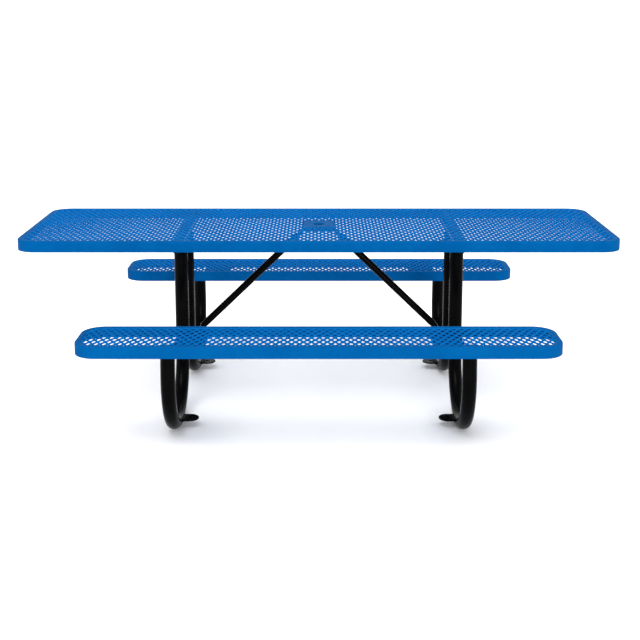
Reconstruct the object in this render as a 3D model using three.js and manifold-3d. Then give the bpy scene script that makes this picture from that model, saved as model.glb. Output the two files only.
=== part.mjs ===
// Rectangular expanded-metal picnic table with two fixed benches.
// Millimetres, +Z up, +X along the table. The origin is on the ground under the middle of the top.

import * as THREE from 'three';
import { mergeVertices } from 'three/addons/utils/BufferGeometryUtils.js';
import Module from 'manifold-3d';

const wasm = await Module();
wasm.setup();

// Driving dimensions

const GAP = 0.3; // clearance between pieces that touch on the real table
const WELD_GAP = 1.2; // clearance of a round post from the end cut to fit it

const TOP = { length: 2438, width: 762, height: 768, skirt: 46, corner: 82 };
const SEAT = { length: 1848, width: 290, height: 445, skirt: 46, corner: 88 };
const SEAT_CENTRE_Y = 619;

const RIM_WALL = 5; // coated steel strip
const RIM_LIP = 16; // flat lip that holds the edge of the mesh
const MESH_DROP = 1; // mesh surface below the rim surface
const MESH_THICKNESS = 8; // solid panel that fills the outline of the expanded metal
const PLATE_THICKNESS = 5;

const TOP_STRAP = { width: 30 }; // lies along the top arm
const CENTRE_PLATE = { length: 130, width: 220 };
const UMBRELLA_PLATE = { length: 132, width: 150, hole: 48 };
const SEAT_PLATE = { x: 502, length: 122 };

const FRAME_X = 582; // plane of each end frame
const TUBE_RADIUS = 28.5;
const TUBE_WALL = 3;
const POST_Y = 118; // upright leg of a bow
const INNER_BEND = 262;
const OUTER_BEND = 240;
const FLAT_RUN = 6; // straight run on the ground between the two bends
const OUTER_LEAN = 5; // degrees that the seat leg leans towards the table
const BOW_STEPS = 32; // this count puts one ring of the tube on the straight run

const ARM = { x: 573, width: 30, depth: 46, length: 660, wall: 3 };
const SEAT_BRACKET = { x: 545, length: 130, width: 100, thickness: 6 };
const CROSSBAR = { z: 268, radius: 17, wall: 3 };
const FOOT_TAB = { y: 384, width: 76, reach: 62, thickness: 6, z: 28, hole: 14 };

// A brace is a bar with a flattened tab at each end. Its axis meets the tabs at these points.
const BRACE = {
  radius: 15,
  foot: { x: 535, tabEnd: 602 },
  head: { x: 62, tabEnd: 22 },
  inset: 18, // from the end of the axis to the end of the round bar
  overlap: 30, // length of a tab that runs into the bar
};
const BRACE_TAB = { width: 36, thickness: 5 };
const BRACE_BRACKET = { length: 150, width: 60, thickness: 6 };

const ARM_BOLT_Y = [-290, -210, 210, 290];
const SEAT_BOLT = { x: 512, y: [-30, 30] };
const BRACE_HEAD_BOLT_X = 42;
const BOLT = { radius: 5, hexRadius: 9.2, head: 6.5, nut: 8, tail: 4, hole: 5.5 };

// Heights worked down from the panels

const PLATE_TOP_DROP = MESH_DROP + MESH_THICKNESS + GAP;
const PLATE_BOTTOM_DROP = PLATE_TOP_DROP + PLATE_THICKNESS;
const ARM_TOP = TOP.height - PLATE_BOTTOM_DROP - GAP;
const ARM_BOTTOM = ARM_TOP - ARM.depth;
const BRACE_BRACKET_BOTTOM = ARM_TOP - BRACE_BRACKET.thickness;
const HEAD_TAB_BOTTOM = BRACE_BRACKET_BOTTOM - GAP - BRACE_TAB.thickness;
const FOOT_TAB_BOTTOM = CROSSBAR.z + CROSSBAR.radius + GAP;
const SEAT_RIM_BOTTOM = SEAT.height - SEAT.skirt;
const SEAT_PLATE_TOP = SEAT_RIM_BOTTOM + PLATE_THICKNESS;
const SEAT_BRACKET_TOP = SEAT_RIM_BOTTOM - GAP;
const SEAT_BRACKET_BOTTOM = SEAT_BRACKET_TOP - SEAT_BRACKET.thickness;

const ARC_SEGMENTS = 5; // an arc of an outline has twice as many chords
const ROUND_SIDES = 20; // sides of a bar
const SMALL_SIDES = 12; // sides of a bow's tube, a bolt and a bolt hole
const POLE_SIDES = 28;
const HEX_SIDES = 6;
const CUT_MARGIN = 10; // a cutter runs past the piece by this much
const SHANK_OVERLAP = 1; // a bolt's shank runs into its head by this much
const MERGE_DISTANCE = 1e-4; // corners closer than this are one corner
const SIDES = [['left', -1], ['right', 1]];
const ROWS = [['front', -1], ['back', 1]];

// Materials

function finish(color, roughness, metalness) {
  return new THREE.MeshStandardMaterial({ color, roughness, metalness });
}

const BLUE_PLASTISOL = finish(0x0a66c2, 0.42, 0.0);
const BLACK_POWDER = finish(0x101112, 0.45, 0.1);
const ZINC = finish(0x9da1a4, 0.35, 1.0);

// Solid helpers

function toManifold(geometry) {
  const bare = geometry.index ? geometry.toNonIndexed() : geometry.clone();
  bare.deleteAttribute('normal');
  bare.deleteAttribute('uv');
  const merged = mergeVertices(bare, MERGE_DISTANCE);
  const vertProperties = new Float32Array(merged.attributes.position.array);
  const triVerts = new Uint32Array(merged.index.array);
  return new wasm.Manifold(new wasm.Mesh({ numProp: 3, vertProperties, triVerts }));
}

function toGeometry(solid) {
  const mesh = solid.getMesh();
  const geometry = new THREE.BufferGeometry();
  geometry.setAttribute('position', new THREE.BufferAttribute(mesh.vertProperties, 3));
  geometry.setIndex(new THREE.BufferAttribute(mesh.triVerts, 1));
  return geometry;
}

function cut(geometry, ...tools) {
  let solid = toManifold(geometry);
  for (const tool of tools) {
    solid = solid.subtract(toManifold(tool));
  }
  return toGeometry(solid);
}

function join(...geometries) {
  let solid = toManifold(geometries[0]);
  for (const other of geometries.slice(1)) {
    solid = solid.add(toManifold(other));
  }
  return toGeometry(solid);
}

function box(length, width, height, x, y, z) {
  return new THREE.BoxGeometry(length, width, height).translate(x, y, z);
}

// Upright cylinder from z0 to z1.
function upright(radius, z0, z1, x, y, sides) {
  const height = z1 - z0;
  const geometry = new THREE.CylinderGeometry(radius, radius, height, sides).rotateX(Math.PI / 2);
  return geometry.translate(x, y, z0 + height / 2);
}

function extrudeUp(shape, z0, height) {
  const options = { depth: height, bevelEnabled: false, curveSegments: ARC_SEGMENTS };
  return new THREE.ExtrudeGeometry(shape, options).translate(0, 0, z0);
}

function addRectangle(path, length, width, radius) {
  const x = length / 2;
  const y = width / 2;
  const r = radius;
  path.moveTo(-x + r, -y);
  path.lineTo(x - r, -y);
  path.absarc(x - r, -y + r, r, -Math.PI / 2, 0);
  path.lineTo(x, y - r);
  path.absarc(x - r, y - r, r, 0, Math.PI / 2);
  path.lineTo(-x + r, y);
  path.absarc(-x + r, y - r, r, Math.PI / 2, Math.PI);
  path.lineTo(-x, -y + r);
  path.absarc(-x + r, -y + r, r, Math.PI, 1.5 * Math.PI);
  return path;
}

// The outline of a panel, moved in from its outer edge by `inset`.
function panelShape(panel, inset) {
  const length = panel.length - 2 * inset;
  const width = panel.width - 2 * inset;
  return addRectangle(new THREE.Shape(), length, width, panel.corner - inset);
}

const parts = new THREE.Group();

function addPart(name, geometry, material, x = 0, y = 0) {
  const mesh = new THREE.Mesh(geometry, material);
  mesh.name = name;
  mesh.position.set(x, y, 0);
  parts.add(mesh);
}

// Panels: rim, mesh and the plates welded under the mesh

// Strip bent round the panel, with a lip turned in at its top edge.
function rimGeometry(panel) {
  const base = panel.height - panel.skirt;
  const body = extrudeUp(panelShape(panel, 0), base, panel.skirt);
  const below = base - CUT_MARGIN;
  const hollow = extrudeUp(panelShape(panel, RIM_WALL), below, CUT_MARGIN + panel.skirt - RIM_WALL);
  const mouthShape = panelShape(panel, RIM_WALL + RIM_LIP);
  const mouth = extrudeUp(mouthShape, below, panel.skirt + 2 * CUT_MARGIN);
  return cut(body, hollow, mouth);
}

function meshGeometry(panel) {
  const shape = panelShape(panel, RIM_WALL + RIM_LIP + GAP);
  const underside = panel.height - MESH_DROP - MESH_THICKNESS;
  return extrudeUp(shape, underside, MESH_THICKNESS);
}

// Plate or strap welded to the underside of the mesh of the top.
function plateUnderTop(length, width, x) {
  const z = TOP.height - PLATE_BOTTOM_DROP + PLATE_THICKNESS / 2;
  return box(length, width, PLATE_THICKNESS, x, 0, z);
}

// Width between the two long walls of a rim, for a piece welded to both.
function widthInside(panel) {
  return panel.width - 2 * RIM_WALL - 2 * GAP;
}

function boltHole(x, y) {
  return upright(BOLT.hole, 0, TOP.height + CUT_MARGIN, x, y, SMALL_SIDES);
}

function poleHole() {
  return upright(UMBRELLA_PLATE.hole / 2, 0, TOP.height + CUT_MARGIN, 0, 0, POLE_SIDES);
}

function addTop() {
  const plateZ = TOP.height - MESH_DROP - MESH_THICKNESS / 2;
  const { length, width } = UMBRELLA_PLATE;
  const window = box(length + 2 * GAP, width + 2 * GAP, 2 * MESH_THICKNESS, 0, 0, plateZ);
  const pole = poleHole();
  addPart('top_rim', rimGeometry(TOP), BLUE_PLASTISOL);
  addPart('top_mesh', cut(meshGeometry(TOP), window), BLUE_PLASTISOL);
  const umbrellaPlate = box(length, width, MESH_THICKNESS, 0, 0, plateZ);
  addPart('umbrella_plate', cut(umbrellaPlate, pole), BLUE_PLASTISOL);

  const centre = plateUnderTop(CENTRE_PLATE.length, CENTRE_PLATE.width, 0);
  const braceHoles = SIDES.map(([, side]) => boltHole(side * BRACE_HEAD_BOLT_X, 0));
  addPart('centre_plate', cut(centre, pole, ...braceHoles), BLUE_PLASTISOL);

  for (const [name, side] of SIDES) {
    const strap = plateUnderTop(TOP_STRAP.width, widthInside(TOP), side * ARM.x);
    const holes = ARM_BOLT_Y.map((y) => boltHole(side * ARM.x, y));
    addPart(`top_strap_${name}`, cut(strap, ...holes), BLUE_PLASTISOL);
  }
}

function addSeat(row, rowSide) {
  const y = rowSide * SEAT_CENTRE_Y;
  addPart(`${row}_seat_rim`, rimGeometry(SEAT), BLUE_PLASTISOL, 0, y);
  addPart(`${row}_seat_mesh`, meshGeometry(SEAT), BLUE_PLASTISOL, 0, y);
  for (const [name, side] of SIDES) {
    const z = SEAT_PLATE_TOP - PLATE_THICKNESS / 2;
    const { x, length } = SEAT_PLATE;
    const plate = box(length, widthInside(SEAT), PLATE_THICKNESS, side * x, 0, z);
    const holes = SEAT_BOLT.y.map((boltY) => boltHole(side * SEAT_BOLT.x, boltY));
    addPart(`${row}_seat_plate_${name}`, cut(plate, ...holes), BLUE_PLASTISOL, 0, y);
  }
}

// Bows: one bent tube is the table post, the foot and the seat leg

const LEAN = THREE.MathUtils.degToRad(OUTER_LEAN);

// Centreline of a bow, from the top of its post round to the top of its seat leg.
class BowCurve extends THREE.Curve {
  constructor(x, side) {
    super();
    this.x = x;
    this.side = side;
    this.post = ARM_BOTTOM - GAP - TUBE_RADIUS - INNER_BEND;
    this.inner = INNER_BEND * (Math.PI / 2);
    this.outer = OUTER_BEND * (Math.PI / 2 + LEAN);
    this.bendEnd = {
      y: POST_Y + INNER_BEND + FLAT_RUN + OUTER_BEND * Math.cos(LEAN),
      z: TUBE_RADIUS + OUTER_BEND * (1 + Math.sin(LEAN)),
    };
    const legTop = SEAT_BRACKET_BOTTOM - GAP - TUBE_RADIUS * Math.sin(LEAN);
    this.leg = (legTop - this.bendEnd.z) / Math.cos(LEAN);
    this.total = this.post + this.inner + FLAT_RUN + this.outer + this.leg;
  }

  at(y, z) {
    return new THREE.Vector3(this.x, this.side * y, z);
  }

  getPoint(t) {
    let s = t * this.total;
    if (s < this.post) {
      return this.at(POST_Y, ARM_BOTTOM - GAP - s);
    }
    s -= this.post;
    if (s < this.inner) {
      const a = s / INNER_BEND;
      const y = POST_Y + INNER_BEND * (1 - Math.cos(a));
      return this.at(y, TUBE_RADIUS + INNER_BEND * (1 - Math.sin(a)));
    }
    s -= this.inner;
    const flatStart = POST_Y + INNER_BEND;
    if (s < FLAT_RUN) {
      return this.at(flatStart + s, TUBE_RADIUS);
    }
    s -= FLAT_RUN;
    if (s < this.outer) {
      const a = s / OUTER_BEND;
      const y = flatStart + FLAT_RUN + OUTER_BEND * Math.sin(a);
      return this.at(y, TUBE_RADIUS + OUTER_BEND * (1 - Math.cos(a)));
    }
    s -= this.outer;
    return this.at(this.bendEnd.y - s * Math.sin(LEAN), this.bendEnd.z + s * Math.cos(LEAN));
  }
}

function tubeShape(radius, wall, sides) {
  const shape = new THREE.Shape();
  shape.absarc(0, 0, radius, 0, 2 * Math.PI);
  const bore = new THREE.Path();
  bore.absarc(0, 0, radius - wall, 0, 2 * Math.PI);
  shape.holes.push(bore);
  const { shape: outer, holes } = shape.extractPoints(sides / 2);
  const ring = new THREE.Shape(outer);
  ring.holes.push(new THREE.Path(holes[0]));
  return ring;
}

function bowGeometry(x, side) {
  const extrudePath = new BowCurve(x, side);
  const options = { extrudePath, steps: BOW_STEPS, bevelEnabled: false };
  return new THREE.ExtrudeGeometry(tubeShape(TUBE_RADIUS, TUBE_WALL, SMALL_SIDES), options);
}

function alongY(radius, length, x, z) {
  return new THREE.CylinderGeometry(radius, radius, length, ROUND_SIDES).translate(x, 0, z);
}

// Round bar between the two posts, its ends shaped to them.
function crossbarGeometry(x) {
  const length = 2 * POST_Y;
  const bar = alongY(CROSSBAR.radius, length, x, CROSSBAR.z);
  const bore = alongY(CROSSBAR.radius - CROSSBAR.wall, length + CUT_MARGIN, x, CROSSBAR.z);
  const posts = [-1, 1].map((side) => {
    const base = CROSSBAR.z - 2 * CROSSBAR.radius;
    return upright(TUBE_RADIUS + WELD_GAP, base, ARM_BOTTOM, x, side * POST_Y, ROUND_SIDES);
  });
  return cut(bar, bore, boltHole(x, 0), ...posts);
}

function armGeometry(side) {
  const z = (ARM_TOP + ARM_BOTTOM) / 2;
  const x = side * ARM.x;
  const { width, depth, length, wall } = ARM;
  const bore = box(width - 2 * wall, length + CUT_MARGIN, depth - 2 * wall, x, 0, z);
  const holes = ARM_BOLT_Y.map((y) => boltHole(x, y));
  return cut(box(width, length, depth, x, 0, z), bore, ...holes);
}

function seatBracketGeometry(side) {
  const { x, length, width, thickness } = SEAT_BRACKET;
  const plate = box(length, width, thickness, side * x, 0, SEAT_BRACKET_TOP - thickness / 2);
  return cut(plate, ...SEAT_BOLT.y.map((y) => boltHole(side * SEAT_BOLT.x, y)));
}

// Anchor lug with a round end, on the inner side of a foot.
function footTabGeometry(side) {
  const { width, reach, thickness, z, hole } = FOOT_TAB;
  const root = FRAME_X - TUBE_RADIUS - GAP;
  const centre = root - reach + width / 2;
  const shape = new THREE.Shape();
  shape.moveTo(root, width / 2);
  shape.absarc(centre, 0, width / 2, Math.PI / 2, 1.5 * Math.PI);
  shape.lineTo(root, -width / 2);
  const bolt = new THREE.Path();
  bolt.absarc(centre, 0, hole / 2, 0, 2 * Math.PI);
  shape.holes.push(bolt);
  const lug = extrudeUp(shape, z, thickness);
  return side > 0 ? lug : lug.rotateZ(Math.PI);
}

function addFrame(name, side) {
  const x = side * FRAME_X;
  addPart(`top_arm_${name}`, armGeometry(side), BLACK_POWDER);
  addPart(`crossbar_${name}`, crossbarGeometry(x), BLACK_POWDER);
  for (const [row, rowSide] of ROWS) {
    const seatY = rowSide * SEAT_CENTRE_Y;
    addPart(`bow_${row}_${name}`, bowGeometry(x, rowSide), BLACK_POWDER);
    addPart(`seat_bracket_${row}_${name}`, seatBracketGeometry(side), BLACK_POWDER, 0, seatY);
    addPart(`foot_tab_${row}_${name}`, footTabGeometry(side), BLACK_POWDER, 0, rowSide * FOOT_TAB.y);
  }
}

// Braces from the crossbars up to the bracket under the middle of the top

function braceTab(x0, x1, z) {
  return box(x1 - x0, BRACE_TAB.width, BRACE_TAB.thickness, (x0 + x1) / 2, 0, z);
}

function braceGeometry(side) {
  const { foot, head, radius, overlap } = BRACE;
  const footZ = FOOT_TAB_BOTTOM + BRACE_TAB.thickness / 2;
  const headZ = HEAD_TAB_BOTTOM + BRACE_TAB.thickness / 2;
  const start = new THREE.Vector3(foot.x, 0, footZ);
  const end = new THREE.Vector3(head.x, 0, headZ);
  const along = new THREE.Vector3().subVectors(end, start);
  const barLength = along.length() - 2 * BRACE.inset;
  const bar = new THREE.CylinderGeometry(radius, radius, barLength, ROUND_SIDES);
  bar.rotateZ(Math.atan2(-along.x, along.z));
  bar.rotateX(Math.PI / 2);
  bar.translate((foot.x + head.x) / 2, 0, (footZ + headZ) / 2);
  const footTab = braceTab(foot.x - overlap, foot.tabEnd, footZ);
  const headTab = braceTab(head.tabEnd, head.x + overlap, headZ);
  const whole = join(bar, footTab, headTab);
  const brace = cut(whole, boltHole(FRAME_X, 0), boltHole(BRACE_HEAD_BOLT_X, 0));
  return side > 0 ? brace : brace.rotateZ(Math.PI);
}

function braceBracketGeometry() {
  const { length, width, thickness } = BRACE_BRACKET;
  const plate = box(length, width, thickness, 0, 0, ARM_TOP - thickness / 2);
  const holes = SIDES.map(([, side]) => boltHole(side * BRACE_HEAD_BOLT_X, 0));
  return cut(plate, poleHole(), ...holes);
}

function addBraces() {
  addPart('brace_bracket', braceBracketGeometry(), BLACK_POWDER);
  for (const [name, side] of SIDES) {
    addPart(`brace_${name}`, braceGeometry(side), BLACK_POWDER);
  }
}

// Bolts

function hexPrism(z0, height) {
  return upright(BOLT.hexRadius, z0, z0 + height, 0, 0, HEX_SIDES);
}

// Bolt driven from below into a tapped plate.
function boltFromBelow(bearing, tip) {
  const face = bearing - GAP;
  const head = hexPrism(face - BOLT.head, BOLT.head);
  return join(head, upright(BOLT.radius, face - SHANK_OVERLAP, tip, 0, 0, SMALL_SIDES));
}

// Bolt driven from above, with a nut below.
function boltFromAbove(bearing, nutTop) {
  const face = bearing + GAP;
  const head = hexPrism(face, BOLT.head);
  const nut = hexPrism(nutTop - GAP - BOLT.nut, BOLT.nut);
  const tip = nutTop - BOLT.nut - BOLT.tail;
  const shank = upright(BOLT.radius, tip, face + SHANK_OVERLAP, 0, 0, SMALL_SIDES);
  return join(head, shank, nut);
}

function addBolts() {
  const topPlateTop = TOP.height - PLATE_TOP_DROP;
  for (const [name, side] of SIDES) {
    ARM_BOLT_Y.forEach((y, i) => {
      const bolt = boltFromBelow(ARM_BOTTOM, topPlateTop);
      addPart(`arm_bolt_${name}_${i + 1}`, bolt, ZINC, side * ARM.x, y);
    });
    for (const [row, rowSide] of ROWS) {
      SEAT_BOLT.y.forEach((y, i) => {
        const bolt = boltFromBelow(SEAT_BRACKET_BOTTOM, SEAT_PLATE_TOP);
        const boltY = rowSide * SEAT_CENTRE_Y + y;
        addPart(`seat_bolt_${row}_${name}_${i + 1}`, bolt, ZINC, side * SEAT_BOLT.x, boltY);
      });
    }
    const headBolt = boltFromBelow(HEAD_TAB_BOTTOM, topPlateTop);
    addPart(`brace_bolt_upper_${name}`, headBolt, ZINC, side * BRACE_HEAD_BOLT_X, 0);
    const footTabTop = FOOT_TAB_BOTTOM + BRACE_TAB.thickness;
    const footBolt = boltFromAbove(footTabTop, CROSSBAR.z - CROSSBAR.radius);
    addPart(`brace_bolt_lower_${name}`, footBolt, ZINC, side * FRAME_X, 0);
  }
}

addTop();
for (const [row, rowSide] of ROWS) {
  addSeat(row, rowSide);
}
for (const [name, side] of SIDES) {
  addFrame(name, side);
}
addBraces();
addBolts();

export default parts;
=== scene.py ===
"""Looks of the expanded-metal picnic table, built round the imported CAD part. Metres, +Z up."""

import math
import random

import bmesh
import bpy
import numpy as np
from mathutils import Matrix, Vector


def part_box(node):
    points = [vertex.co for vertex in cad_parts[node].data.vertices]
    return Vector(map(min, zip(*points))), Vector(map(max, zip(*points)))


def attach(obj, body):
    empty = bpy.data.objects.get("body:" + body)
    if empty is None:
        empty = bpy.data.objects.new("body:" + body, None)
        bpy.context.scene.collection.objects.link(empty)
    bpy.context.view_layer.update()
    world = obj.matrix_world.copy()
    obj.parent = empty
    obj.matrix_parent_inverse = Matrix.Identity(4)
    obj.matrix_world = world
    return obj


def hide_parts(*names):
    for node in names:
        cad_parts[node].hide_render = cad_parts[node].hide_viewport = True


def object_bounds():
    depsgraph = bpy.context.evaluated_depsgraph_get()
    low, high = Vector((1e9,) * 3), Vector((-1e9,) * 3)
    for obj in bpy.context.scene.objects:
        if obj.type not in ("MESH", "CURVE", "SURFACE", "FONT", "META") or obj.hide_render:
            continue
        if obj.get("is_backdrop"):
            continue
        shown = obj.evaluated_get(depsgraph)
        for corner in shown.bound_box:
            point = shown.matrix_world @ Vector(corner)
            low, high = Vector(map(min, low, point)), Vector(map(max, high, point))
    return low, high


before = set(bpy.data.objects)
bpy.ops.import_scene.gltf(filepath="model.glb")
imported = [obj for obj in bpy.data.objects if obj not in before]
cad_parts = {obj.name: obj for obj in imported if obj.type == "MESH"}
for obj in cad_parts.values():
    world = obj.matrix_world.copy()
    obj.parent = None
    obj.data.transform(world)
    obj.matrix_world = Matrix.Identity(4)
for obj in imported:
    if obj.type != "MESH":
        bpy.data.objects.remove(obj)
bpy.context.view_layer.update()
random.seed(7)

SIDES = (("left", -1), ("right", 1))
ROWS = (("front", -1), ("back", 1))

# Rims: wall, lip, corners in plan, and the radii that the coating gives the section's edges
RIM_WALL = 0.005
RIM_LIP = 0.016
TOP_CORNER = 0.082
SEAT_CORNER = 0.088
CORNER_STEPS = 14
RIM_FOOT_EDGE = 0.0019
RIM_TOP_EDGE = 0.0044
RIM_LIP_EDGE = 0.0021
RIM_INNER_EDGE = 0.0020
RIM_EDGE_STEPS = 5

# Expanded metal: one opening every CELL_X along the table, in staggered rows CELL_Y apart
CELL_X = 0.030
CELL_Y = 0.028
HOLE_X = 0.0097
HOLE_Y = 0.0184
HOLE_POWER = 1.36
STRAND = 0.0072
# Half of a strand's section: (way from its middle to the opening, height in half strands)
STRAND_SECTION = ((0.0, 1.0), (0.74, 0.80), (1.0, -0.66), (0.0, -1.0))
STRAND_TILT = 0.0006
SHEET_BORDER = 0.0055
WINDOW_BORDER = 0.003
WINDOW_GAP = 0.0002
SPARE_CELLS = 3
TOP_CELL_POINTS = 12
SEAT_CELL_POINTS = 16
SEAT_PHASE = (0.0025, -0.033)
SLIVER_WIDTH = 1e-5
SLIVER_AREA = 2e-6
MERGE_DISTANCE = 1e-5

# Plates: corner radii, rounded edge, pole hole, and how far the straps lie below the mesh's face
UMBRELLA_CORNER = 0.004
CENTRE_CORNER = 0.006
STRAP_CORNER = 0.002
SEAT_PLATE_CORNER = 0.003
SEAT_BRACKET_CORNER = 0.010
BRACE_BRACKET_CORNER = 0.008
PLATE_CORNER_STEPS = 6
PLATE_EDGE = 0.0016
POLE_HOLE = 0.024
POLE_HOLE_STEPS = 64
STRAP_DROP = 0.4 * STRAND

# Bows: a bow stops END_GAP below its bracket, and its centreline CUT_MARGIN before that
INNER_BEND = 0.262
OUTER_BEND = 0.240
FLAT_RUN = 0.006
OUTER_LEAN = math.radians(5)
END_GAP = 0.0002
CUT_MARGIN = 0.0001
POST_STEPS = 7
ARC_STEPS = 30
TUBE_SIDES = 40

# Welds at the ends of tubes: (distance from the end, growth), and (ripples round it, height)
WELD = 0.0034
BOW_WELD = ((0.007, 0.0), (0.0048, 0.0006), (0.003, 0.0022), (0.0014, WELD), (0.0, WELD))
BOW_RIPPLE = (9, 0.25)
CROSSBAR_WELD = (
    (0.0, 0.0), (0.0, WELD), (0.0016, WELD), (0.0034, 0.0022), (0.0055, 0.0006), (0.008, 0.0)
)
CROSSBAR_RIPPLE = (7, 0.22)
RIPPLE_NOISE = 0.1

# Weld beads on the anchor lugs: a bead's radius, its ripples, and where it lies
BEAD = 0.0030
BEAD_SIDES = 10
BEAD_RIPPLE = 0.14
BEAD_TURN = 2.1
BEAD_NOISE = 0.05
BEAD_TIP = 0.4
BEAD_HALF_STEPS = 15
BEAD_REACH = 0.96
BEAD_RISE = 0.0004
BEAD_OVERLAP = 0.0006

# Anchor lugs
LUG_HOLE = 0.007
LUG_HOLE_STEPS = 32
LUG_END_STEPS = 24
LUG_EDGE = 0.0014

# Top arms
ARM_WALL = 0.003
ARM_CORNER = 0.0055
ARM_CORNER_STEPS = 5
ARM_EDGE = 0.0007
ARM_END_ROUNDING = 0.22

# Braces: flat tabs that turn into a round bar over the length TAPER, outlined as superellipses
BRACE_RADIUS = 0.015
BRACE_FOOT_X = 0.535
BRACE_HEAD_X = 0.062
BRACE_SIDES = 36
BAR_POWER = 2
BAR_STATIONS = (0.16, 0.3, 0.5, 0.7, 0.84)
TAB_WIDTH = 0.036
TAB_THICKNESS = 0.005
TAB_POWER = 6
TAB_TIP = 0.06
TAB_END_STEPS = 6
TAB_OVERRUN = 0.012
TAB_STEPS = 3
TAPER = 0.062
TAPER_STEPS = 10
TAPER_TURN = 2.2
TAPER_LIFT_OFF = 0.25
TAPER_START = Vector((-0.9, 0, 0.12))

BOLT_EDGE = 0.0007

# Studio: sizes, and (name, tilt from straight down, turn, strength, spread) with angles in degrees
FLOOR_RADIUS = 300
FLOOR_Z = -0.0002
SURROUND = 1.15
SUNS = (("key", 26, -24, 1.6, 30), ("fill", 80, 12, 1.5, 20))
CAMERA_ASIDE = 0.005
CAMERA_DISTANCE = 4.944
CAMERA_HEIGHT = 1.7055
CAMERA_TILT = 10.76


# ---------------------------------------------------------------- mesh helpers


class Solid:
    """Vertices and faces of one piece, gathered before they become a mesh."""

    def __init__(self):
        self.verts = []
        self.faces = []

    def add(self, verts, faces):
        start = len(self.verts)
        self.verts.extend(tuple(v) for v in verts)
        self.faces.extend(tuple(start + i for i in face) for face in faces)

    def grid(self, rings, wrap=False, caps=True):
        """Skin over a list of equal rings of points; wrap joins the last ring to the first."""
        count = len(rings[0])
        verts = [point for loop in rings for point in loop]
        faces = []
        last = len(rings) if wrap else len(rings) - 1
        for i in range(last):
            a, b = i * count, ((i + 1) % len(rings)) * count
            for k in range(count):
                n = (k + 1) % count
                faces.append((a + k, a + n, b + n, b + k))
        if caps and not wrap:
            faces.append(tuple(reversed(range(count))))
            base = (len(rings) - 1) * count
            faces.append(tuple(base + k for k in range(count)))
        self.add(verts, faces)

    def make(self, name, material, sharp=40):
        """Object of this piece, smooth apart from edges steeper than sharp, in degrees."""
        mesh = bpy.data.meshes.new(name)
        mesh.from_pydata(self.verts, [], self.faces)
        mesh.validate()
        mesh.update()
        obj = bpy.data.objects.new(name, mesh)
        bpy.context.scene.collection.objects.link(obj)
        mesh.materials.append(material)
        turn_outward(mesh)
        mesh.shade_smooth()
        mesh.set_sharp_from_angle(angle=math.radians(sharp))
        return obj


def turn_outward(mesh):
    """Flips every face if the mesh's signed volume is negative."""
    places = np.empty(len(mesh.vertices) * 3)
    mesh.vertices.foreach_get("co", places)
    mesh.calc_loop_triangles()
    triangles = np.empty(len(mesh.loop_triangles) * 3, int)
    mesh.loop_triangles.foreach_get("vertices", triangles)
    corners = places.reshape(-1, 3)[triangles.reshape(-1, 3)]
    a, b, c = corners[:, 0], corners[:, 1], corners[:, 2]
    if np.einsum("ij,ij->i", a, np.cross(b, c)).sum() < 0:
        mesh.flip_normals()


def ring(centre, across, up, radius_x, radius_y, sides, power=2.0):
    """Superellipse round a centre: power 2 is an ellipse, and more is squarer."""
    points = []
    for k in range(sides):
        angle = 2 * math.pi * k / sides
        c, s = math.cos(angle), math.sin(angle)
        x = math.copysign(abs(c) ** (2 / power), c) * radius_x
        y = math.copysign(abs(s) ** (2 / power), s) * radius_y
        points.append(centre + across * x + up * y)
    return points


def rounded(corners, steps):
    """Closed outline with each corner (x, y, radius) rounded."""
    points = []
    count = len(corners)
    for i, (x, y, radius) in enumerate(corners):
        here = Vector((x, y))
        before = (Vector(corners[i - 1][:2]) - here).normalized()
        after = (Vector(corners[(i + 1) % count][:2]) - here).normalized()
        half = before.angle(after) / 2
        reach = radius / math.tan(half)
        centre = here + (before + after).normalized() * (radius / math.sin(half))
        start, end = here + before * reach - centre, here + after * reach - centre
        turn = math.atan2(start.x * end.y - start.y * end.x, start.dot(end))
        for k in range(steps + 1):
            angle = turn * k / steps
            c, s = math.cos(angle), math.sin(angle)
            spoke = Vector((start.x * c - start.y * s, start.x * s + start.y * c))
            points.append(centre + spoke)
    return points


def box_outline(x0, x1, y0, y1, radius):
    return [(x0, y0, radius), (x1, y0, radius), (x1, y1, radius), (x0, y1, radius)]


def circle(x, y, radius, steps):
    angles = [2 * math.pi * k / steps for k in range(steps)]
    return [Vector((x + radius * math.cos(a), y + radius * math.sin(a))) for a in angles]


def plate_data(outline, holes, z0, z1, edge=PLATE_EDGE):
    """Flat plate with holes and rounded edges, as vertices and faces."""
    curve = bpy.data.curves.new("plate_outline", "CURVE")
    curve.dimensions = "2D"
    curve.fill_mode = "BOTH"
    curve.extrude = (z1 - z0) / 2 - edge
    curve.bevel_depth = edge
    curve.bevel_resolution = 2
    curve.offset = -edge
    for loop in [outline, *holes]:
        spline = curve.splines.new("POLY")
        spline.points.add(len(loop) - 1)
        for point, xy in zip(spline.points, loop):
            point.co = (xy[0], xy[1], 0, 1)
        spline.use_cyclic_u = True
    obj = bpy.data.objects.new("plate_outline", curve)
    bpy.context.scene.collection.objects.link(obj)
    graph = bpy.context.evaluated_depsgraph_get()
    mesh = bpy.data.meshes.new_from_object(obj.evaluated_get(graph))
    middle = (z0 + z1) / 2
    verts = [(v.co.x, v.co.y, v.co.z + middle) for v in mesh.vertices]
    faces = [tuple(p.vertices) for p in mesh.polygons]
    bpy.data.objects.remove(obj)
    bpy.data.curves.remove(curve)
    bpy.data.meshes.remove(mesh)
    return verts, faces


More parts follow.
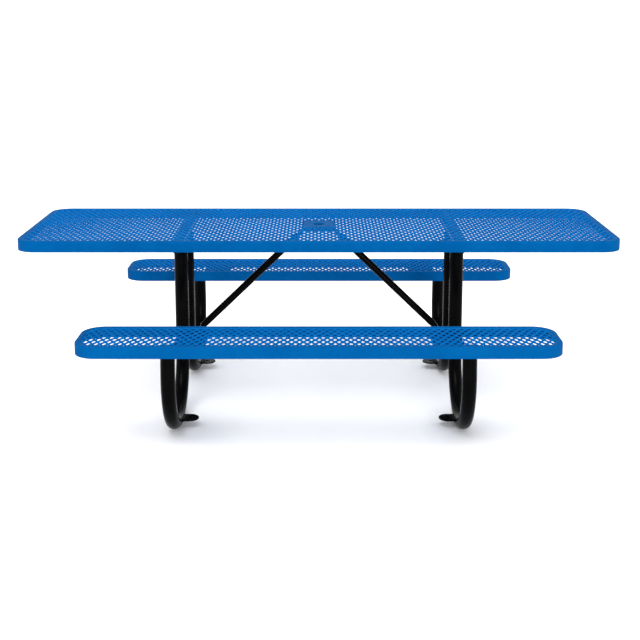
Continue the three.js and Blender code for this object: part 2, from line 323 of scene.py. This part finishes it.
def bead_path(solid, points):
    """Rippled weld bead along a level path, thin at both ends."""
    rings = []
    last = len(points) - 1
    for i, point in enumerate(points):
        before, after = points[max(i - 1, 0)], points[min(i + 1, last)]
        tangent = (after - before).normalized()
        side = tangent.cross(Vector((0, 0, 1))).normalized()
        up = side.cross(tangent)
        noise = random.uniform(-BEAD_NOISE, BEAD_NOISE)
        size = BEAD * (1 + BEAD_RIPPLE * math.sin(i * BEAD_TURN) + noise)
        if i in (0, last):
            size *= BEAD_TIP
        rings.append(ring(point, side, up, size, size, BEAD_SIDES))
    solid.grid(rings)


def weld_radius(radius, growth, angle, ripple):
    """Radius of a tube at an angle round it, rippled where a weld makes it grow."""
    if not growth:
        return radius
    count, height = ripple
    wave = height * math.sin(count * angle) + random.uniform(-RIPPLE_NOISE, RIPPLE_NOISE)
    return radius + growth * (1 + wave)


def finish(obj, node):
    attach(obj, "root")
    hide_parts(node)


# ---------------------------------------------------------------- materials


class Graph:
    """Short calls for the nodes of one material."""

    def __init__(self, name):
        self.material = bpy.data.materials.new(name)
        self.material.use_nodes = True
        self.tree = self.material.node_tree
        self.shader = self.tree.nodes["Principled BSDF"]
        self.coords = self.tree.nodes.new("ShaderNodeTexCoord").outputs["Object"]

    def link(self, a, b):
        self.tree.links.new(a, b)

    def noise(self, scale, detail, roughness, stretch=None):
        node = self.tree.nodes.new("ShaderNodeTexNoise")
        node.inputs["Scale"].default_value = scale
        node.inputs["Detail"].default_value = detail
        node.inputs["Roughness"].default_value = roughness
        source = self.coords
        if stretch:
            mapping = self.tree.nodes.new("ShaderNodeMapping")
            mapping.inputs["Scale"].default_value = stretch
            self.link(source, mapping.inputs["Vector"])
            source = mapping.outputs["Vector"]
        self.link(source, node.inputs["Vector"])
        return node.outputs["Fac"]

    def ramp(self, source, stops):
        node = self.tree.nodes.new("ShaderNodeValToRGB")
        ramp = node.color_ramp
        while len(ramp.elements) < len(stops):
            ramp.elements.new(0.5)
        for element, (at, colour) in zip(ramp.elements, stops):
            element.position = at
            element.color = (*colour, 1)
        self.link(source, node.inputs["Fac"])
        return node.outputs["Color"]

    def spread(self, source, low, high, start=0.3, end=0.7):
        node = self.tree.nodes.new("ShaderNodeMapRange")
        node.inputs["From Min"].default_value = start
        node.inputs["From Max"].default_value = end
        node.inputs["To Min"].default_value = low
        node.inputs["To Max"].default_value = high
        self.link(source, node.inputs["Value"])
        return node.outputs["Result"]

    def mix(self, factor, under, colour):
        """Lays a plain colour over another one, as much as the factor says."""
        node = self.tree.nodes.new("ShaderNodeMix")
        node.data_type = "RGBA"
        sockets = {socket.name: socket for socket in node.inputs if socket.enabled}
        self.link(factor, sockets["Factor"])
        self.link(under, sockets["A"])
        sockets["B"].default_value = (*colour, 1)
        return [socket for socket in node.outputs if socket.enabled][0]

    def bump(self, layers):
        """Stacks (height, strength, distance) layers on the shader's normal."""
        normal = None
        for height, strength, distance in layers:
            node = self.tree.nodes.new("ShaderNodeBump")
            node.inputs["Strength"].default_value = strength
            node.inputs["Distance"].default_value = distance
            self.link(height, node.inputs["Height"])
            if normal:
                self.link(normal, node.inputs["Normal"])
            normal = node.outputs["Normal"]
        self.link(normal, self.shader.inputs["Normal"])

    def base(self, colour):
        self.link(colour, self.shader.inputs["Base Color"])

    def roughness(self, value):
        self.link(value, self.shader.inputs["Roughness"])

    def set(self, **values):
        for key, value in values.items():
            self.shader.inputs[key.replace("_", " ")].default_value = value


def blue_coating(name, deep, light, worn):
    """Thick dipped plastisol: even colour with slow drifts, orange peel and fine dust specks."""
    look = Graph(name)
    drift = look.noise(5.5, 3, 0.5)
    cloud = look.noise(38, 4, 0.6)
    speck = look.noise(900, 2, 0.6)
    colour = look.ramp(drift, [(0.32, deep), (0.68, light)])
    colour = look.mix(look.spread(cloud, 0, 0.35, 0.45, 0.75), colour, worn)
    colour = look.mix(look.spread(speck, 0, 0.25, 0.66, 0.8), colour, worn)
    look.base(colour)
    look.roughness(look.spread(cloud, 0.39, 0.55))
    look.set(IOR=1.45, Specular_IOR_Level=0.008, Specular_Tint=(0.10, 0.50, 1.0, 1))
    waves, peel = look.noise(26, 2, 0.5), look.noise(420, 3, 0.6)
    look.bump([(waves, 0.25, 0.0008), (peel, 0.22, 0.00018)])
    return look.material


def black_coating():
    """Black powder coat: fine texture, faint dust on it and slightly uneven gloss."""
    look = Graph("black_powder_coat")
    cloud = look.noise(14, 4, 0.6)
    grain = look.noise(1300, 3, 0.7)
    dust = look.noise(70, 5, 0.65)
    colour = look.ramp(cloud, [(0.3, (0.0005, 0.0005, 0.0006)), (0.7, (0.0012, 0.0012, 0.0013))])
    colour = look.mix(look.spread(dust, 0, 0.3, 0.55, 0.8), colour, (0.004, 0.004, 0.0043))
    look.base(colour)
    look.roughness(look.spread(cloud, 0.18, 0.27))
    look.set(IOR=1.45, Specular_IOR_Level=0.03)
    look.bump([(look.noise(60, 2, 0.5), 0.2, 0.0004), (grain, 0.3, 0.00012)])
    return look.material


def zinc_plate():
    """Bright zinc plate with brushed marks and duller stains."""
    look = Graph("zinc_plated_steel")
    stain = look.noise(160, 4, 0.6)
    scratch = look.noise(900, 3, 0.6, stretch=(1, 1, 0.08))
    stops = [(0.3, (0.18, 0.185, 0.19)), (0.62, (0.32, 0.325, 0.33)), (0.8, (0.36, 0.35, 0.31))]
    look.base(look.ramp(stain, stops))
    look.roughness(look.spread(scratch, 0.26, 0.48))
    look.set(Metallic=1.0)
    look.bump([(scratch, 0.2, 0.0001), (stain, 0.15, 0.0002)])
    return look.material


# One blue coating in two shades of painted light: the copy on the rims, plates and straps is painted
# darker and the copy on the mesh painted lighter, so that upright skirts and flat strands, which the
# lamps light unequally, come out the same blue.
BLUE_STEEL_PAINTED_DARKER = blue_coating(
    "blue_coated_steel",
    deep=(0.0003, 0.062, 0.213),
    light=(0.0005, 0.075, 0.243),
    worn=(0.002, 0.091, 0.268),
)
BLUE_MESH_PAINTED_LIGHTER = blue_coating(
    "blue_coated_mesh",
    deep=(0.0003, 0.093, 0.314),
    light=(0.0005, 0.108, 0.356),
    worn=(0.003, 0.129, 0.386),
)
BLACK = black_coating()
ZINC = zinc_plate()


# ---------------------------------------------------------------- panels


def outline_stations(lo, hi, corner):
    """Points round a rounded rectangle with their inward directions."""
    stations = []
    spans = ((hi.x, lo.y, -90), (hi.x, hi.y, 0), (lo.x, hi.y, 90), (lo.x, lo.y, 180))
    for x, y, start in spans:
        centre_x = x - math.copysign(corner, x - (lo.x + hi.x) / 2)
        centre_y = y - math.copysign(corner, y - (lo.y + hi.y) / 2)
        for k in range(CORNER_STEPS + 1):
            angle = math.radians(start + 90 * k / CORNER_STEPS)
            out = Vector((math.cos(angle), math.sin(angle)))
            stations.append((Vector((centre_x, centre_y)) + out * corner, -out))
    return stations


def rim(node, corner):
    """Strip bent round a panel, with a lip turned in at its top and edges rounded by the coating."""
    lo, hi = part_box(node)
    height = hi.z - lo.z
    lip = RIM_WALL + RIM_LIP
    corners = [
        (0, 0, RIM_FOOT_EDGE),
        (0, height, RIM_TOP_EDGE),
        (lip, height, RIM_LIP_EDGE),
        (lip, height - RIM_WALL, RIM_LIP_EDGE),
        (RIM_WALL, height - RIM_WALL, RIM_INNER_EDGE),
        (RIM_WALL, 0, RIM_FOOT_EDGE),
    ]
    section = rounded(corners, RIM_EDGE_STEPS)
    rings = []
    for point, inward in outline_stations(lo, hi, corner):
        loop = []
        for inset, rise in section:
            at = point + inward * inset
            loop.append(Vector((at.x, at.y, lo.z + rise)))
        rings.append(loop)
    solid = Solid()
    solid.grid(rings, wrap=True)
    finish(solid.make(node + "_coated", BLUE_STEEL_PAINTED_DARKER, sharp=50), node)


def inside_rounded(xy, half, corner):
    """Moves points outside a rounded rectangle onto its edge."""
    out = np.clip(xy, -half, half)
    core = half - corner
    over = np.abs(out) - core
    reach = np.linalg.norm(over, axis=1)
    far = (over > 0).all(1) & (reach > corner)
    scale = np.where(far, corner / np.maximum(reach, 1e-9), 1)[:, None]
    moved = np.sign(out) * (core + over * scale)
    return np.where(far[:, None], moved, out)


def outside_window(xy, half):
    """Moves points inside a rectangular window onto its edge."""
    out = xy.copy()
    gap = half - np.abs(xy)
    inner = (gap > 0).all(1)
    to_x = inner & (gap[:, 0] <= gap[:, 1])
    to_y = inner & ~to_x
    out[to_x, 0] = np.where(xy[to_x, 0] < 0, -half[0], half[0])
    out[to_y, 1] = np.where(xy[to_y, 1] < 0, -half[1], half[1])
    return out


def is_sliver(loop):
    """True for the outline of a cell that has next to nothing on the sheet."""
    x, y = loop.T
    area = 0.5 * abs(np.dot(x, np.roll(y, -1)) - np.dot(y, np.roll(x, -1)))
    return np.ptp(loop, axis=0).min() < SLIVER_WIDTH or area < SLIVER_AREA


def lattice_cell(points):
    """Outlines of a diamond cell and of its opening, round the cell's middle."""
    angles = 2 * np.pi * np.arange(points) / points
    c, s = np.cos(angles), np.sin(angles)
    power = 2 / HOLE_POWER
    opening_x = np.sign(c) * np.abs(c) ** power * HOLE_X
    opening_y = np.sign(s) * np.abs(s) ** power * HOLE_Y
    tips = np.array([(CELL_X / 2, 0), (0, CELL_Y), (-CELL_X / 2, 0), (0, -CELL_Y)])
    per_side = points // 4
    outline = []
    for k in range(points):
        tip, way = k // per_side, k % per_side / per_side
        outline.append(tips[tip] * (1 - way) + tips[(tip + 1) % 4] * way)
    return np.array(outline), np.stack([opening_x, opening_y], 1)


def merged(places, faces):
    """Joins points that lie together and drops the faces that this leaves flat."""
    keys = np.round(places / MERGE_DISTANCE).astype(np.int64)
    _, first, same = np.unique(keys, axis=0, return_index=True, return_inverse=True)
    same = same.reshape(-1)
    loops = [tuple(dict.fromkeys(same[list(face)].tolist())) for face in faces]
    return places[first], [loop for loop in loops if len(loop) > 2]


def expanded_sheet(node, corner, points, phase=(0.0, 0.0), window=None):
    """Expanded metal: each diamond cell is a strand loop round its opening."""
    lo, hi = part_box(node)
    centre = np.array([(lo.x + hi.x) / 2, (lo.y + hi.y) / 2])
    half = np.array([(hi.x - lo.x) / 2, (hi.y - lo.y) / 2])
    level = hi.z - STRAND / 2
    outline, opening = lattice_cell(points)
    columns, rows = int(half[0] / CELL_X) + SPARE_CELLS, int(half[1] / CELL_Y) + SPARE_CELLS
    cells = Solid()
    for j in range(-rows, rows + 1):
        for i in range(-columns, columns + 1):
            stagger = 0.5 * (j % 2)
            middle = np.array([phase[0] + (i + stagger) * CELL_X, phase[1] + j * CELL_Y])
            border = inside_rounded(outline + middle, half, corner)
            inner = inside_rounded(opening + middle, half - SHEET_BORDER, corner)
            if window is not None:
                border = outside_window(border, window)
                inner = outside_window(inner, window + WINDOW_BORDER)
            if is_sliver(border):
                continue
            rings = []
            for way, rise in STRAND_SECTION:
                xy = border * (1 - way) + inner * way
                lean = np.clip((xy[:, 0] - middle[0]) / HOLE_X, -1, 1)
                tilt = STRAND_TILT * way * (1 - abs(way - 0.5)) * lean
                rings.append(np.column_stack([xy + centre, level + rise * STRAND / 2 + tilt]))
            cells.grid(rings, caps=False)
    sheet = Solid()
    sheet.add(*merged(np.array(cells.verts), cells.faces))
    obj = sheet.make(node + "_expanded", BLUE_MESH_PAINTED_LIGHTER, sharp=80)
    close_borders(obj.data, level)
    finish(obj, node)


def plan_place(vertex):
    """Place of a vertex seen from above, to a hundredth of a millimetre."""
    return round(vertex.co.x, 5), round(vertex.co.y, 5)


def close_borders(mesh, level):
    """Joins the open top and bottom edges round a sheet and its window with an upright wall."""
    bm = bmesh.new()
    bm.from_mesh(mesh)
    edges = [edge for edge in bm.edges if edge.is_boundary]
    lower = {}
    for edge in edges:
        for vertex in edge.verts:
            if vertex.co.z < level:
                lower[plan_place(vertex)] = vertex
    for edge in edges:
        a, b = edge.verts
        if a.co.z < level or b.co.z < level:
            continue
        c, d = lower.get(plan_place(b)), lower.get(plan_place(a))
        if c and d and c != d and not bm.faces.get((a, b, c, d)):
            bm.faces.new((a, b, c, d)).smooth = True
    bmesh.ops.recalc_face_normals(bm, faces=bm.faces)
    bm.to_mesh(mesh)
    bm.free()


def flat_plate(node, material, radius, holes=(), top=None):
    """Replaces a CAD plate with one that has rounded corners, edges and holes."""
    lo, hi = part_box(node)
    outline = rounded(box_outline(lo.x, hi.x, lo.y, hi.y, radius), PLATE_CORNER_STEPS)
    solid = Solid()
    solid.add(*plate_data(outline, holes, lo.z, hi.z if top is None else top))
    finish(solid.make(node + "_plate", material), node)


pole_hole = circle(0, 0, POLE_HOLE, POLE_HOLE_STEPS)
umbrella_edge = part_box("umbrella_plate")[1]
window_half = np.array([umbrella_edge.x + WINDOW_GAP, umbrella_edge.y + WINDOW_GAP])
strap_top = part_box("top_mesh")[1].z - STRAP_DROP

rim("top_rim", TOP_CORNER)
expanded_sheet("top_mesh", TOP_CORNER - RIM_WALL - RIM_LIP, TOP_CELL_POINTS, window=window_half)
flat_plate("umbrella_plate", BLUE_STEEL_PAINTED_DARKER, UMBRELLA_CORNER, [pole_hole])
flat_plate("centre_plate", BLUE_STEEL_PAINTED_DARKER, CENTRE_CORNER, [pole_hole])
for side, _ in SIDES:
    # the dipped coating fills the mesh over a strap, so the strap reaches up into the mesh
    flat_plate(f"top_strap_{side}", BLUE_STEEL_PAINTED_DARKER, STRAP_CORNER, top=strap_top)
for row, row_sign in ROWS:
    rim(f"{row}_seat_rim", SEAT_CORNER)
    phase = (SEAT_PHASE[0], SEAT_PHASE[1] * -row_sign)
    expanded_sheet(f"{row}_seat_mesh", SEAT_CORNER - RIM_WALL - RIM_LIP, SEAT_CELL_POINTS, phase)
    for side, _ in SIDES:
        plate = f"{row}_seat_plate_{side}"
        flat_plate(plate, BLUE_STEEL_PAINTED_DARKER, SEAT_PLATE_CORNER)


# ---------------------------------------------------------------- end frames


def bow_stations(top, radius, post_y, leg_top):
    """(y, z, direction in the y-z plane) along the centreline of a bow, from the post's top."""
    stations = []
    bend_z = radius + INNER_BEND
    for k in range(POST_STEPS):
        stations.append((post_y, top + (bend_z - top) * k / POST_STEPS, (0, -1)))
    for k in range(ARC_STEPS + 1):
        angle = math.pi / 2 * k / ARC_STEPS
        c, s = math.cos(angle), math.sin(angle)
        y = post_y + INNER_BEND * (1 - c)
        stations.append((y, radius + INNER_BEND * (1 - s), (s, -c)))
    start = post_y + INNER_BEND + FLAT_RUN
    sweep = math.pi / 2 + OUTER_LEAN
    for k in range(ARC_STEPS + 1):
        angle = sweep * k / ARC_STEPS
        c, s = math.cos(angle), math.sin(angle)
        stations.append((start + OUTER_BEND * s, radius + OUTER_BEND * (1 - c), (c, s)))
    y, z, way = stations[-1]
    rise = (leg_top - z) / way[1]
    for part in (0.5, 1):
        stations.append((y + way[0] * rise * part, z + way[1] * rise * part, way))
    return stations


def bow(row, side, row_sign):
    """Bent tube that swells into its weld at both ends. Returns its post's x, radius and |y|."""
    node = f"bow_{row}_{side}"
    lo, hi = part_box(node)
    leg_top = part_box(f"seat_bracket_{row}_{side}")[0].z - END_GAP
    radius = (hi.x - lo.x) / 2
    x = (hi.x + lo.x) / 2
    post_y = min(abs(lo.y), abs(hi.y)) + radius
    across = Vector((1, 0, 0))
    stations = bow_stations(hi.z, radius, post_y, leg_top - CUT_MARGIN)
    y, z, way = stations[0]
    path = [(y, z - distance, way, growth) for distance, growth in reversed(BOW_WELD)]
    path += [(*station, 0.0) for station in stations[1:-1]]
    y, z, way = stations[-1]
    for distance, growth in BOW_WELD:
        path.append((y - way[0] * distance, z - way[1] * distance, way, growth))
    rings = []
    for y, z, way, growth in path:
        up = Vector((0, way[1] * row_sign, -way[0]))
        centre = Vector((x, row_sign * y, z))
        loop = []
        for k in range(TUBE_SIDES):
            angle = 2 * math.pi * k / TUBE_SIDES
            size = weld_radius(radius, growth, angle, BOW_RIPPLE)
            point = centre + (across * math.cos(angle) + up * math.sin(angle)) * size
            if way[1] > 0.5 and growth:
                point.z = min(point.z, leg_top)
            loop.append(point)
        rings.append(loop)
    for point in rings[0]:
        point.z = hi.z
    for point in rings[-1]:
        point.z = leg_top
    solid = Solid()
    solid.grid(rings)
    finish(solid.make(node + "_tube", BLACK), node)
    return x, radius, post_y


def crossbar(side, x, post_radius, post_y):
    """Bar between the two posts, its ends shaped to them and swelling into their welds."""
    node = f"crossbar_{side}"
    lo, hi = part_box(node)
    radius = (hi.z - lo.z) / 2
    z = (hi.z + lo.z) / 2
    ends = {}
    for sign in (-1, 1):
        ends[sign] = []
        for gap, growth in CROSSBAR_WELD:
            loop = []
            for k in range(TUBE_SIDES):
                angle = 2 * math.pi * k / TUBE_SIDES
                size = weld_radius(radius, growth, angle, CROSSBAR_RIPPLE)
                dx = size * math.cos(angle)
                y = post_y - math.sqrt(post_radius**2 - dx**2) - gap
                loop.append(Vector((x + dx, sign * y, z + size * math.sin(angle))))
            ends[sign].append(loop)
    solid = Solid()
    solid.grid(ends[-1] + ends[1][::-1])
    finish(solid.make(node + "_bar", BLACK), node)


def arm(side):
    """Rectangular tube with rounded corners, open at both ends."""
    node = f"top_arm_{side}"
    lo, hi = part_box(node)
    wall = ARM_WALL
    skin = box_outline(lo.x, hi.x, lo.z, hi.z, ARM_CORNER)
    bore = box_outline(lo.x + wall, hi.x - wall, lo.z + wall, hi.z - wall, ARM_CORNER - wall)
    outer = rounded(skin, ARM_CORNER_STEPS)
    inner = rounded(bore, ARM_CORNER_STEPS)
    near_outer = [o.lerp(i, ARM_END_ROUNDING) for o, i in zip(outer, inner)]
    near_inner = [o.lerp(i, 1 - ARM_END_ROUNDING) for o, i in zip(outer, inner)]
    order = (
        (outer, lo.y + ARM_EDGE),
        (outer, hi.y - ARM_EDGE),
        (near_outer, hi.y),
        (near_inner, hi.y),
        (inner, hi.y - ARM_EDGE),
        (inner, lo.y + ARM_EDGE),
        (near_inner, lo.y),
        (near_outer, lo.y),
    )
    solid = Solid()
    solid.grid([[Vector((p.x, y, p.y)) for p in loop] for loop, y in order], wrap=True)
    finish(solid.make(node + "_tube", BLACK), node)


def foot_tab(row, side, sign):
    """Anchor lug with a round end and a hole, welded to the foot above and below."""
    node = f"foot_tab_{row}_{side}"
    lo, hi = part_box(node)
    half = (hi.y - lo.y) / 2
    y = (hi.y + lo.y) / 2
    root = hi.x if sign > 0 else lo.x
    tip = lo.x if sign > 0 else hi.x
    x = tip + sign * half
    outline = [Vector((root, y - sign * half)), Vector((root, y + sign * half))]
    for k in range(LUG_END_STEPS + 1):
        angle = math.pi / 2 + math.pi * k / LUG_END_STEPS
        c, s = math.cos(angle), math.sin(angle)
        outline.append(Vector((x + sign * half * c, y + sign * half * s)))
    hole = circle(x, y, LUG_HOLE, LUG_HOLE_STEPS)
    solid = Solid()
    solid.add(*plate_data(outline, [hole], lo.z, hi.z, LUG_EDGE))
    for z in (lo.z - BEAD_RISE, hi.z + BEAD_RISE):
        line = []
        for k in range(-BEAD_HALF_STEPS, BEAD_HALF_STEPS + 1):
            along = half * k / BEAD_HALF_STEPS * BEAD_REACH
            line.append(Vector((root - sign * BEAD_OVERLAP, y + along, z)))
        bead_path(solid, line)
    finish(solid.make(node + "_lug", BLACK), node)


for side, sign in SIDES:
    arm(side)
    for row, row_sign in ROWS:
        post = bow(row, side, row_sign)
        bracket = f"seat_bracket_{row}_{side}"
        flat_plate(bracket, BLACK, SEAT_BRACKET_CORNER)
        foot_tab(row, side, sign)
    crossbar(side, *post)


# ---------------------------------------------------------------- braces


def brace_half(tab_x, bend, slope, toward):
    """(point, direction, width, thickness, power) from a tab's round end into the round bar."""
    flat = Vector((-1, 0, 0))
    stations = []
    for k in range(TAB_END_STEPS + 1):
        u = math.sin(math.pi / 2 * k / TAB_END_STEPS)
        reach = TAB_WIDTH / 2 * (1 - math.sqrt(max(0, 1 - u * u)))
        at = Vector((tab_x - toward * reach, 0, bend.z))
        stations.append((at, flat, max(u, TAB_TIP) * TAB_WIDTH, TAB_THICKNESS, TAB_POWER))
    start, stop = tab_x - toward * TAB_WIDTH / 2, bend.x + toward * TAB_OVERRUN
    for k in range(1, TAB_STEPS + 1):
        at = Vector((start + (stop - start) * k / TAB_STEPS, 0, bend.z))
        stations.append((at, flat, TAB_WIDTH, TAB_THICKNESS, TAB_POWER))
    for k in range(1, TAPER_STEPS + 1):
        u = k / TAPER_STEPS
        ease = u * u * (3 - 2 * u)
        course = slope if u > TAPER_LIFT_OFF else TAPER_START
        at = bend + course * (toward * TAPER * u)
        way = flat.lerp(slope, min(1, TAPER_TURN * u)).normalized()
        width = TAB_WIDTH + (2 * BRACE_RADIUS - TAB_WIDTH) * ease
        thickness = TAB_THICKNESS + (2 * BRACE_RADIUS - TAB_THICKNESS) * ease
        power = TAB_POWER + (BAR_POWER - TAB_POWER) * ease
        stations.append((at, way, width, thickness, power))
    return stations


def brace(side, sign):
    """Round bar pressed flat at both ends and bent to lie on its two seats."""
    node = f"brace_{side}"
    lo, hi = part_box(node)
    reaches = (abs(lo.x), abs(hi.x))
    foot = Vector((BRACE_FOOT_X, 0, lo.z + TAB_THICKNESS / 2))
    head = Vector((BRACE_HEAD_X, 0, hi.z - TAB_THICKNESS / 2))
    slope = (head - foot).normalized()
    length = (head - foot).length
    stations = brace_half(max(reaches), foot, slope, 1)
    for part in BAR_STATIONS:
        at = foot + slope * length * part
        stations.append((at, slope, 2 * BRACE_RADIUS, 2 * BRACE_RADIUS, BAR_POWER))
    stations += reversed(brace_half(min(reaches), head, slope, -1))
    across = Vector((0, 1, 0))
    rings = []
    for point, way, width, thickness, power in stations:
        up = across.cross(way)
        if up.z < 0:
            up = -up
        loop = ring(point, across, up, width / 2, thickness / 2, BRACE_SIDES, power)
        rings.append([Vector((sign * p.x, p.y, p.z)) for p in loop])
    solid = Solid()
    solid.grid(rings)
    finish(solid.make(node + "_bar", BLACK), node)


for side, sign in SIDES:
    brace(side, sign)
flat_plate("brace_bracket", BLACK, BRACE_BRACKET_CORNER, [pole_hole])


# ---------------------------------------------------------------- bolts

for name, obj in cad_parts.items():
    if "_bolt_" in name:
        obj.data.materials.clear()
        obj.data.materials.append(ZINC)
        edge = obj.modifiers.new("edge_rounding", "BEVEL")
        edge.width = BOLT_EDGE
        edge.segments = 2
        edge.limit_method = "ANGLE"
        edge.angle_limit = math.radians(40)


# ---------------------------------------------------------------- studio


def floor_material():
    look = Graph("pale_floor")
    tone = look.noise(1.3, 3, 0.5)
    look.base(look.ramp(tone, [(0.3, (0.93, 0.93, 0.93)), (0.7, (0.95, 0.95, 0.95))]))
    look.set(Roughness=0.85, Specular_IOR_Level=0.1)
    return look.material


def studio():
    """Pale floor, an even white surround, a soft sun from above and one from the front."""
    bpy.ops.mesh.primitive_circle_add(
        vertices=96, radius=FLOOR_RADIUS, fill_type="NGON", location=(0, 0, FLOOR_Z)
    )
    floor = bpy.context.object
    floor.name = "floor"
    floor.data.materials.append(floor_material())
    floor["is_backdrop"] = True

    world = bpy.data.worlds.new("studio")
    bpy.context.scene.world = world
    world.use_nodes = True
    background = world.node_tree.nodes["Background"]
    background.inputs["Color"].default_value = (1, 1, 1, 1)
    background.inputs["Strength"].default_value = SURROUND

    for name, tilt, turn, strength, spread in SUNS:
        light = bpy.data.lights.new(name, "SUN")
        light.energy = strength
        light.angle = math.radians(spread)
        obj = bpy.data.objects.new(name, light)
        obj.rotation_euler = (math.radians(tilt), 0, math.radians(turn))
        bpy.context.scene.collection.objects.link(obj)
    bpy.context.scene.view_settings.view_transform = "Standard"


def camera():
    """View from the middle of the front, above the top and tilted down a little."""
    data = bpy.data.cameras.new("camera")
    data.lens = 65.76
    data.sensor_width = 36
    data.shift_y = -0.15
    obj = bpy.data.objects.new("camera", data)
    bpy.context.scene.collection.objects.link(obj)
    lo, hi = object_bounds()
    middle = (lo + hi) / 2
    obj.location = (middle.x + CAMERA_ASIDE, middle.y - CAMERA_DISTANCE, CAMERA_HEIGHT)
    obj.rotation_euler = (math.radians(90 - CAMERA_TILT), 0, 0)
    bpy.context.scene.camera = obj


studio()
camera()
